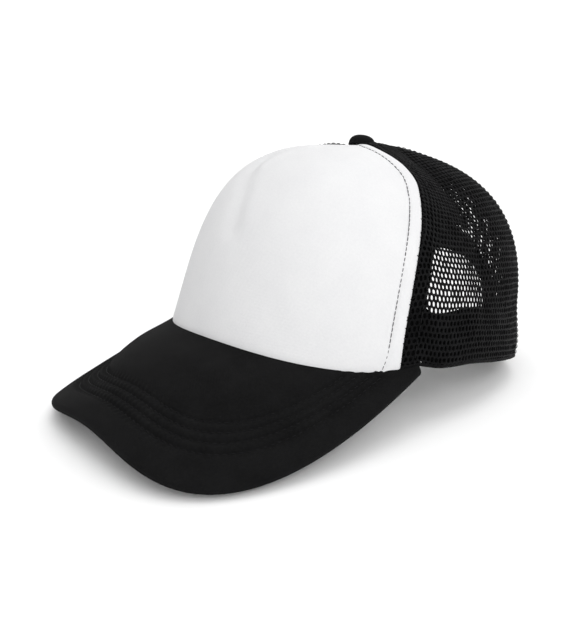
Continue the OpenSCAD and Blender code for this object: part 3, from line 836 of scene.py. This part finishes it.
def net_panels():
    def side_from(th):
        return seam_phi(th) + span(GAP / 2, th)

    def rear_end(th):
        return REAR_SEAM - span(GAP / 2, th)

    def rear_from(th):
        return REAR_SEAM + span(GAP / 2, th)

    def middle(th):
        return 180 - span(GAP / 2, th)

    for word, side, seed in (("left", 1, 0.4), ("right", -1, 2.3)):
        net_panel(f"{word}_side_net", f"{word}_side_mesh", side, side_from, rear_end,
                  everywhere, seed)
        net_panel(f"{word}_rear_net", f"{word}_rear_mesh", side, rear_from, middle,
                  outside_arch, seed + 1.1)


# ---- Seam tapes ----
def strip_piece(name, node, phi, th, depth, lines, side=1):
    """A tape on a grid of crown places, sewn through along some of its grid lines."""
    flipped = np.array([side, 1, 1])
    normal = crown_normal(phi, th)
    skin = crown(phi, th, depth + TAPE_T / 2)
    ripple = 0.10 * np.sin(lengths(skin, 1) * 2 * np.pi / 5.3) * bell(edge_distance(skin), 1.5)
    skin = skin - normal * np.abs(ripple)[..., None]
    shape = Shape()
    pillow(shape, skin * flipped, normal * flipped, TAPE_T, 0.5)
    for k in lines:
        inner = skin[k] - normal[k] * (TAPE_T / 2)
        stitches(shape, inner * flipped, -normal[k] * flipped, r=0.2, lift=0.25, mat=1)
        outer = crown(phi[k], th[k])
        stitches(shape, outer * flipped, normal[k] * flipped, r=0.2, lift=0.25, mat=1)
    shape.build(name, [TAPE, BLACK_THREAD], "tape", [node], join=0.001)


def seam_yarn(word, side):
    """Overlock yarns that poke out along the front seam and fray its edge."""
    shape = Shape()
    chance = np.random.default_rng(7 + side)
    flipped = np.array([side, 1, 1])
    for th in np.arange(1.2, 80, 1.05):
        th = th + 0.3 * chance.standard_normal()
        onto, under = 0.3 + 0.7 * chance.random(), 1.3
        phi = seam_phi(th) + span(np.array([under, -onto]), th)
        slant = np.array([0.0, 0.45 * chance.standard_normal()])
        normal = crown_normal(phi, th + slant)
        at = crown(phi, th + slant) + normal * 0.06
        stitches(shape, at * flipped, normal * flipped, pitch=0.7 * (under + onto), fill=1.0,
                 r=0.20, lift=0.12)
    shape.build(f"front_{word}_seam_yarn", [NET], "tape")


def tapes():
    s = eased(15, 0.06, 3) * 2 - 1

    def columns(*places):
        return [int(np.argmin(np.abs(s - place))) for place in places]

    def grid(half_w, th, middle):
        half = np.minimum(span(half_w, th), 20)
        return middle + s[:, None] * half, th + 0 * s[:, None]

    th = np.linspace(0.8, 84, 120)
    for word, side in (("left", 1), ("right", -1)):
        phi, level_th = grid(TAPE_HALF_W, th, seam_phi(th))
        step = ramp(s, 0.0, 0.4)[:, None] + 0 * phi
        strip_piece(f"front_{word}_seam_tape", f"front_{word}_tape", phi, level_th,
                    FRONT_TAPE_IN + (TAPE_IN - FRONT_TAPE_IN) * step, columns(0.78), side)
        seam_yarn(word, side)
        phi, level_th = grid(TAPE_HALF_W, th, REAR_SEAM)
        strip_piece(f"rear_{word}_seam_tape", f"rear_{word}_tape", phi, level_th,
                    TAPE_IN + 0 * phi, columns(-0.78, 0.78), side)
    foot = float(rear_place(0.01, ARCH_FOOT + ARCH_RISE + BINDING_W + 1)[1])
    phi, level_th = grid(TAPE_HALF_W - 1.5, np.linspace(foot, 84, 90), 180)
    strip_piece("centre_back_seam_tape", "centre_back_tape", phi, level_th,
                TAPE_IN + 0 * phi, columns(-0.75, 0.75))


# ---- Arch binding ----
def arch_line(w, t):
    """Place (phi, th) on the arch widened by w; t is 0 at one foot, 1 at the other."""
    straight = ARCH_FOOT / (2 * ARCH_FOOT + math.pi * (ARCH_HALF_W + ARCH_RISE) / 2)
    a = np.clip((t - straight) / (1 - 2 * straight), 0, 1) * np.pi
    drop = np.maximum(straight - t, 0) + np.maximum(t - 1 + straight, 0)
    x = (ARCH_HALF_W + w) * np.cos(a)
    z = ARCH_FOOT * (1 - drop / straight) + (ARCH_RISE + w) * np.sin(a)
    return rear_place(x, np.maximum(z, 0.15))


def binding():
    """Tape folded round the edge of the arch: outside, over the edge, and inside."""
    t = np.linspace(0, 1, 181)
    bend = np.linspace(0, np.pi, 9)
    reach = MESH_T / 2 + GAP + TAPE_T / 2
    flat = np.array([8.0, 7.6, 7.0, 6.0, 4.5, 3.0, 1.8])
    w = np.concatenate([flat, 1.0 - reach * np.sin(bend), flat[::-1]])
    depth = MESH_T / 2 + np.concatenate([0 * flat - reach, -reach * np.cos(bend),
                                         0 * flat + reach])
    turn = np.concatenate([0 * flat, bend, 0 * flat + np.pi])
    skin, out = [], []
    for wk, dk, ak in zip(w, depth, turn):
        phi, th = arch_line(wk, t)
        inward = unit(crown(*arch_line(wk - 0.4, t)) - crown(*arch_line(wk + 0.4, t)))
        skin.append(crown(phi, th, dk))
        out.append(crown_normal(phi, th) * math.cos(ak) + inward * math.sin(ak))
    skin, out = np.stack(skin), unit(np.stack(out))
    ripple = 0.07 * np.sin(lengths(skin, 1) * 2 * np.pi / 3.1)
    near_line = bell(np.minimum(w, BINDING_W) - 6.4, 1.2)[:, None]
    skin = skin - out * (np.abs(ripple) * near_line)[..., None]
    shape = Shape()
    pillow(shape, skin, out, TAPE_T, 0.5)
    for k in (3, len(w) - 4):
        stitches(shape, skin[k] + out[k] * TAPE_T / 2, out[k], r=0.2, lift=0.25, mat=1)
    shape.build("rear_arch_binding", [TAPE, BLACK_THREAD], "tape", ["arch_binding"], join=0.001)


# ---- Sweatband ----
BAND_FOOT, BAND_LINE = 0.3, 0.13


def band_in(phi):
    """How far the sweatband lies below the skin: under the front foam it lies deeper."""
    a = np.abs(phi)
    return TAPE_IN + TAPE_T + 2 * GAP + 1.8 * (1 - ramp(a, 69, 78)) + 2.6 * ramp(a, 129, 138)


def band_top(phi):
    return BAND_RISE[0] + (BAND_RISE[1] - BAND_RISE[0]) * ramp(np.abs(phi), 60, 94)


def sweatband():
    phi, v = np.meshgrid(np.linspace(-BAND_END, BAND_END, 420), eased(16, 0.08, 3), indexing="ij")
    th = BAND_FOOT + v * (band_top(phi) - BAND_FOOT)
    depth = band_in(phi) + BAND_T + GAP + BAND_T / 2
    depth = depth + bell(th, 0.7) * (1.3 - depth)
    skin = crown(phi, th, depth)
    wrinkle = flow(skin * np.array([0.35, 0.35, 0.12])) * 0.22
    puff = 0.55 * np.sin(np.pi * np.clip((v - 0.16) / 0.84, 0, 1)) + wrinkle * (0.3 + v)
    groove = 0.35 * bell(v - BAND_LINE, 0.025)
    pucker = 0.1 * np.sin(phi * 3) * bell(v - BAND_LINE, 0.08)
    shape = Shape()
    pillow(shape, skin, crown_normal(phi, th), BAND_T, 0.8, np.maximum(puff - groove + pucker, -0.3))
    band = shape.build("sweatband_cover", [COTTON], "sweatband_cotton", ["sweatband"])


def sweatband_line():
    phi = np.linspace(-BAND_END + 1, BAND_END - 1, 900)
    th = BAND_FOOT + BAND_LINE * (band_top(phi) - BAND_FOOT)
    at = crown(phi, th, band_in(phi) + 2 * BAND_T + GAP - 0.25)
    shape = Shape()
    stitches(shape, at, -crown_normal(phi, th), pitch=3.2, r=0.24, lift=0.3)
    shape.build("sweatband_needle_line", [BLACK_THREAD], "thread", ["sweatband_stitching"])


# ---- Visor ----
STITCH_STEP = 3.1
ROW_STEP = STITCH_ROWS[1] - STITCH_ROWS[0]
PUFF, MID_PUFF, RIM_PUFF = 1.3, 2.8, 0.8
ROOM_FOR_PUFF = 0.6 * PUFF


def row_lines():
    """Each stitch row as points on the visor, from the crown round to the crown."""
    rows = []
    for trim in STITCH_ROWS:
        xy = visor_rim(np.linspace(-1, 1, 4001), trim)
        off = (np.abs(xy[:, 0]) / HALF_W) ** PLAN_N + (np.abs(xy[:, 1]) / FRONT) ** PLAN_N
        rows.append(xy[off > 1.03])
    return rows


ROW_LINES = row_lines()


def row_fields(xy):
    """For each visor point: distance to the nearest row, run along it, and its number."""
    flat = xy.reshape(-1, 2)
    best, along = np.full(len(flat), 1e9), np.zeros(len(flat))
    which = np.zeros(len(flat), int)
    for k, row in enumerate(ROW_LINES):
        line = row[::4]
        run = run_along(line)
        for start in range(0, len(flat), 4000):
            part = slice(start, start + 4000)
            d = np.linalg.norm(flat[part, None] - line[None], axis=2)
            i = d.argmin(1)
            near = d.min(1)
            closer = near < best[part]
            best[part][closer] = near[closer]
            along[part][closer] = run[i][closer] + 0.7 * k
            which[part][closer] = k
    return tuple(v.reshape(xy.shape[:-1]) for v in (best, along, which))


def visor_relief(xy):
    """Relief of the stitched channels, and height of the padding inside and outside them."""
    near, along, which = row_fields(xy)
    wave = np.sin(2 * np.pi * along / STITCH_STEP)
    slant = np.sin(2 * np.pi * (along / STITCH_STEP + near * 0.16))
    channel = 1 - np.exp(-(near / (0.95 + 0.3 * wave)) ** 1.6)
    uneven = 0.6 + 0.4 * np.sin(along * 0.37 + near)
    rope = 0.13 * uneven * slant * bell(near - 1.1, 0.9)
    beyond = np.maximum(near - ROW_STEP / 2, 0)
    inside = (which == len(ROW_LINES) - 1) * (1 - np.exp(-beyond / 4.0))
    outside = (which == 0) * (1 - np.exp(-beyond / 1.2)) * (1 - np.clip(beyond / 9.5, 0, 1) ** 2)
    return PUFF * (channel - 1) + rope, MID_PUFF * inside, RIM_PUFF * outside


def visor_cover(name, node, up, t1, s1, depth):
    """One cover from the visor's root to its edge, and round half of the edge."""
    sign = 1 if up else -1
    r = VISOR_DEPTH / 2
    bend = np.linspace(0, np.pi / 2 - 0.06, 9)[1:]
    xy = visor_xy(t1[:, None] + 0 * s1, s1 + 0 * t1[:, None], r)
    start = depth[:, -1:]
    fall = (r - 0.05) * (1 - np.cos(bend)) * sign
    to_middle = r - sign * 0.05 - start - fall[-1]
    edge_xy = np.stack([visor_rim(t1, trim) for trim in r - r * np.sin(bend)], 1)
    all_xy = np.concatenate([xy, edge_xy], 1)
    all_depth = np.concatenate([depth, start + fall + to_middle * (bend / bend[-1]) ** 2], 1)
    back_xy = visor_xy(t1[:, None] + 0 * all_depth, 0.9 + 0 * all_depth, r)
    pull = 0.012 * np.concatenate([0 * s1, np.sin(bend)])[:, None]
    inner_depth = np.clip(all_depth + sign * 0.55, GAP * 0.5, VISOR_DEPTH - 0.1)
    faces = [below_visor(all_xy, all_depth),
             below_visor(all_xy + (back_xy - all_xy) * pull, inner_depth)]
    shape = Shape()
    uv = all_xy * np.array([1.0, 1.0 / math.cos(math.radians(VISOR_PITCH))])
    shell(shape, *faces[::sign], uv)
    return shape.build(name, [BLACK], "visor_fabric", [node])


def visor_covers():
    t1 = np.linspace(-1, 1, 381)
    s1 = np.concatenate([np.linspace(0, 0.5, 34)[:-1], np.linspace(0.5, 1, 78)])
    t, s = np.meshgrid(t1, s1, indexing="ij")
    xy = visor_xy(t, s, VISOR_DEPTH / 2)
    relief, mid_puff, rim_puff = visor_relief(xy)
    swell = 0.35 * flow(below_visor(xy, 0 * t) * 0.09) * (1 - s ** 8)
    root = ramp(s, 0.05, 0.36) * ramp(np.abs(t), 1.0, 0.8)
    top = relief + swell + mid_puff * root + rim_puff
    upper = visor_cover("visor_upper_cloth", "visor_top_cover", True, t1, s1,
                        GAP - top - ROOM_FOR_PUFF)
    visor_cover("visor_lower_cloth", "visor_under_cover", False, t1, s1,
                VISOR_DEPTH + 0.25 * relief)


def visor_stitches():
    shape = Shape()
    for row in ROW_LINES:
        normal = visor_normal(row[:, 0])
        skin = below_visor(row, np.zeros(len(row)))
        sunk = GAP - ROOM_FOR_PUFF + PUFF + 0.05
        stitches(shape, skin - normal * sunk, normal, pitch=STITCH_STEP, fill=0.8,
                 r=0.2, lift=0.22, skew=0.25)
        stitches(shape, skin - normal * (VISOR_DEPTH + 0.05), -normal, pitch=STITCH_STEP,
                 fill=0.86, r=0.24, lift=0.26, skew=0.25)
    shape.build("visor_needle_rows", [BLACK_THREAD], "thread", ["visor_stitching"])


# ---- Button ----
def dome_line(wall):
    """(r, height) of the dome's outline, a wall inside its skin."""
    a = np.linspace(0.0, np.pi / 2, 30)[1:]
    return np.stack([(BUTTON_R - wall) * spow(np.sin(a), DOME_N),
                     (BUTTON_H - wall) * spow(np.cos(a), DOME_N)], -1)


def button():
    """The cloth over the dome, gathered at its rim and turned in below."""
    turned_in = np.array([(0.12, -0.25), (0.02, -0.55), (-0.45, -0.72), (-1.1, -0.6), (-1.2, 0.1)])
    inside = dome_line(CLOTH_T)[::-1]
    profile = np.concatenate([[(0.02, BUTTON_H)], dome_line(0.0), turned_in + (BUTTON_R, 0),
                              inside[inside[:, 0] < BUTTON_R - 1.4],
                              [(0.02, BUTTON_H - CLOTH_T)]])
    a = np.arange(120) / 120 * 2 * np.pi
    r, z = profile[:, :1] + 0 * a, profile[:, 1:] + 0 * a
    low = bell(z + 0.3, 1.3) * (r > BUTTON_R * 0.75)
    fold = (np.sin(a * 14 + 0.8 * np.sin(a * 3)) * 0.5 + np.sin(a * 23 + 1) * 0.3) * low
    r, z = r + 0.16 * fold, z + 0.05 * fold
    uv = np.stack([r * np.cos(a), r * np.sin(a)], -1)
    shape = Shape()
    shape.add(np.stack([uv[..., 0], BUTTON_Y + uv[..., 1], BUTTON_Z + z], -1),
              grid_faces(len(profile), 120, wrap=True, flip=True), uv)
    shape.build("button_cloth_cover", [BUTTON], "button_fabric", ["button_cover"], join=0.03)


# ---- Snap strap ----
# ARC is the length of one degree along the strap
ARC = math.pi / 180 * STRAP_R
PITCH_A = PEG_PITCH / ARC
STRAP_TOP = STRAP_Z + STRAP_H
STRAP_MID = (STRAP_Z + STRAP_TOP) / 2
FREE_END = -(PEG_COUNT - 4 + 0.25) * PITCH_A * ARC
TAB_END = TAB_END_A * ARC
SPOTS = [(i - PEG_COUNT / 2 + 1) * PITCH_A * ARC for i in range(PEG_COUNT)]
ROUND_STEPS = 28


def strap_bend(inset, side, x, z, out):
    """Bends flat strap places to the arc; out is measured from the strap's inner face."""
    a = np.asarray(x) / ARC / 180 * math.pi
    rad = STRAP_R - inset - STRAP_T + np.asarray(out)
    return np.stack([side * rad * np.sin(a), STRAP_Y + rad * np.cos(a), z + 0 * a], -1)


def strap_outline():
    """Flat outline of a strap half: its free end is rounded."""
    def corner(z, start):
        return [(FREE_END + STRAP_CORNER + STRAP_CORNER * math.cos(a),
                 z + STRAP_CORNER * math.sin(a))
                for a in np.radians(np.linspace(start, start + 90, 9))]

    return ([(TAB_END, STRAP_Z), (TAB_END, STRAP_TOP)] + corner(STRAP_TOP - STRAP_CORNER, 90)
            + corner(STRAP_Z + STRAP_CORNER, 180))


def strap_sheet(holes):
    """Flat strap half with its holes cut and edges rounded, sliced so that it can bend."""
    bm = bmesh.new()
    ring = np.linspace(0, 2 * np.pi, 33)[:-1]
    loops = [strap_outline()]
    if holes:
        loops += [[(x + HOLE_R * math.cos(a), STRAP_MID + HOLE_R * math.sin(a)) for a in ring]
                  for x in SPOTS]
    edges = []
    for loop in loops:
        vs = [bm.verts.new((x, z, 0)) for x, z in loop]
        edges += [bm.edges.new(pair) for pair in zip(vs, vs[1:] + vs[:1])]
    bmesh.ops.triangle_fill(bm, edges=edges, use_beauty=True)
    made = bmesh.ops.extrude_face_region(bm, geom=bm.faces[:])
    for v in [g for g in made["geom"] if isinstance(g, bmesh.types.BMVert)]:
        v.co.z += STRAP_T
    bmesh.ops.recalc_face_normals(bm, faces=bm.faces)
    bm.normal_update()
    sharp = [e for e in bm.edges if len(e.link_faces) == 2 and e.calc_face_angle() > 0.8
             and abs(e.verts[0].co.z - e.verts[1].co.z) < 1e-6]
    bmesh.ops.bevel(bm, geom=sharp, offset=0.22, segments=3, profile=0.5, affect="EDGES",
                    clamp_overlap=True)
    for x in np.arange(math.ceil(FREE_END), math.floor(TAB_END), 1.5):
        bmesh.ops.bisect_plane(bm, geom=bm.verts[:] + bm.edges[:] + bm.faces[:],
                               plane_co=(x + 0.013, 0, 0), plane_no=(1, 0, 0), dist=1e-5)
    bmesh.ops.triangulate(bm, faces=[f for f in bm.faces if len(f.verts) > 4])
    bm.verts.index_update()
    points = np.array([v.co[:] for v in bm.verts])
    faces = [[v.index for v in f.verts] for f in bm.faces]
    bm.free()
    return points, faces


def turned_spot(shape, inset, side, x, profile, closed=False):
    """A round feature of the strap, from a profile of (r, out) turned about a spot."""
    a = np.arange(ROUND_STEPS) / ROUND_STEPS * 2 * np.pi
    rows = np.array(profile + profile[:1] if closed else profile)
    r, out = rows[:, :1], rows[:, 1:]
    points = strap_bend(inset, side, x + r * np.cos(a), STRAP_MID + r * np.sin(a), out + 0 * a)
    shape.add(points, grid_faces(len(rows), ROUND_STEPS, wrap=True, flip=side > 0))


def strap_shape(inset, side, holes):
    """One strap half: band, tab, moulded ridges, and collars round holes or else pegs."""
    flat, faces = strap_sheet(holes)
    x, z, out = flat.T
    ridge = 0.22 * (bell(z - STRAP_Z - 1.1, 0.5) + bell(z - STRAP_TOP + 1.1, 0.5))
    out = out + np.where(out > STRAP_T - 0.05, ridge, 0)
    shape = Shape()
    threes, fours = (np.array([f for f in faces if len(f) == n])[:, ::side] for n in (3, 4))
    base = shape.add(strap_bend(inset, side, x, z, out), threes, flat[:, :2])
    shape.add_faces(fours, base)
    top = inset + STRAP_T - 1.6
    collar = [(2.62, 0.95), (2.75, 1.12), (3.05, 1.16), (3.3, 1.0), (3.4, 0.9)]
    peg = [(0.02, 0.9), (2.5, 0.9), (2.15, 1.1), (1.7, 1.4), (1.7, top - 0.75),
           (PEG_R - 0.04, top - 0.5), (PEG_R - 0.08, top - 0.2), (1.5, top - 0.04),
           (0.8, top), (0.02, top)]
    for spot in SPOTS:
        turned_spot(shape, inset, side, spot, collar if holes else peg, closed=holes)
    return shape


def straps():
    for body, name, inset, side in (("hole_strap", "snap_strap_with_holes", HOLE_IN, 1),
                                    ("peg_strap", "snap_strap_with_pegs", PEG_IN, -1)):
        shape = strap_shape(inset, side, body == "hole_strap")
        obj = shape.build(name, [PLASTIC], "strap_plastic", [f"{body}_tab", f"{body}_band"],
                          body=None, join=0.004)
        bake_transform(obj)


def strap_stitches():
    shape = Shape()
    z = np.linspace(3, STRAP_TOP - 1.5, 60)
    for side in (1, -1):
        for angle in (31.4, 33.6):
            x = side * (STRAP_R + 0.25) * math.sin(math.radians(angle))
            phi, th = rear_place(x + 0 * z, z)
            normal = crown_normal(phi, th)
            stitches(shape, crown(phi, th) + normal * 0.25, normal, pitch=1.6, fill=0.95,
                     r=0.26, lift=0.2, skew=0.5)
    shape.build("strap_needle_lines", [BLACK_THREAD], "thread", ["strap_stitching"])


# ---- The cap ----
front_panel()
front_backing()
topstitch()
net_panels()
tapes()
binding()
sweatband()
sweatband_line()
visor_covers()
visor_stitches()
button()
straps()
strap_stitches()

hidden = {"sweatband_foam": BAND_FOAM, "visor_foam": WADDING, "visor_board": STIFFENER,
          "button_shell": STEEL, "button_rivet": STEEL, "button_washer": STEEL}
for node, material in hidden.items():
    mesh = frame["nodes"][node].data
    mesh.materials.clear()
    mesh.materials.append(material)


# ---- Stage, light and camera ----
def stage_plane(name, corners, material):
    mesh = bpy.data.meshes.new(name)
    mesh.from_pydata(corners, [], [(0, 1, 2, 3)])
    mesh.materials.append(material)
    obj = bpy.data.objects.new(name, mesh)
    bpy.context.scene.collection.objects.link(obj)
    return obj


def floor():
    """Plain pale floor at the cap's lowest point."""
    p = Paint("floor_paper")
    p.link(p.mix(p.noise(p.place(), 40), grey(0.90, 0.90), grey(0.92, 0.92)), "Base Color")
    p.set(Roughness=0.9, Specular_IOR_Level=0.1)
    size, z = 6.0, cad_box[0][2]
    stage_plane("floor", [(-size, -size, z), (size, -size, z), (size, size, z),
                          (-size, size, z)], p.material)


def flag():
    """A grey studio flag, unseen by the camera, that keeps light off the right side."""
    p = Paint("flag_felt")
    p.link(p.mix(p.noise(p.place(), 30), grey(0.05, 0.05), grey(0.07, 0.07)), "Base Color")
    obj = stage_plane("flag", [(-0.85, -0.30, 0.1), (-0.10, -1.05, 0.1), (-0.10, -1.05, 0.9),
                               (-0.85, -0.30, 0.9)], p.material)
    obj.visible_camera = False


def area_light(name, spot, size, power):
    """A round soft light aimed at the middle of the cap."""
    data = bpy.data.lights.new(name, "AREA")
    data.shape, data.size, data.energy = "DISK", size, power
    obj = bpy.data.objects.new(name, data)
    obj.location = spot
    obj.rotation_mode = "QUATERNION"
    obj.rotation_quaternion = (Vector((0, 0, 0.06)) - Vector(spot)).to_track_quat("-Z", "Y")
    bpy.context.scene.collection.objects.link(obj)


def lights():
    world = bpy.data.worlds.new("studio")
    world.use_nodes = True
    background = world.node_tree.nodes["Background"]
    background.inputs["Color"].default_value = (1, 1, 1, 1)
    background.inputs["Strength"].default_value = 1.12
    bpy.context.scene.world = world
    area_light("key", (1.25, -0.35, 1.1), 0.8, 4.6)
    area_light("top", (0.1, 0.1, 1.5), 1.0, 4)
    area_light("fill", (0.45, -1.15, 0.3), 0.5, 1.6)


# Camera of the photograph, given round the upright cap: direction, distance
# and sideways offsets in millimetres, and how far the cap leaned back there
CAM_AZIMUTH, CAM_ELEVATION, CAM_DISTANCE, CAM_LEAN = 47.14, 15.115, 331.1, 11.79
CAM_ASIDE, CAM_ABOVE, CAM_AIM_Z = -34.2, -39.8, 50.0
SENSOR_W, LENS = 36, 33.645714


def camera():
    a, e = math.radians(CAM_AZIMUTH), math.radians(CAM_ELEVATION)
    back = Vector((math.sin(a) * math.cos(e), -math.cos(a) * math.cos(e), math.sin(e)))
    right = (-back).cross(Vector((0, 0, 1))).normalized()
    above = right.cross(-back)
    eye = Vector((0, 0, CAM_AIM_Z)) + right * CAM_ASIDE + above * CAM_ABOVE + back * CAM_DISTANCE
    lean = Matrix.Rotation(math.radians(CAM_LEAN) - LEAN, 3, "X")
    data = bpy.data.cameras.new("camera")
    data.sensor_width, data.lens, data.clip_start = SENSOR_W, LENS, 0.01
    obj = bpy.data.objects.new("camera", data)
    axes = Matrix((lean @ right, lean @ above, lean @ back)).transposed()
    obj.matrix_world = Matrix.Translation(lean @ eye * MM + BAND_CENTRE) @ axes.to_4x4()
    bpy.context.scene.collection.objects.link(obj)
    bpy.context.scene.camera = obj


floor()
flag()
lights()
camera()
bpy.context.scene.view_settings.view_transform = "Standard"
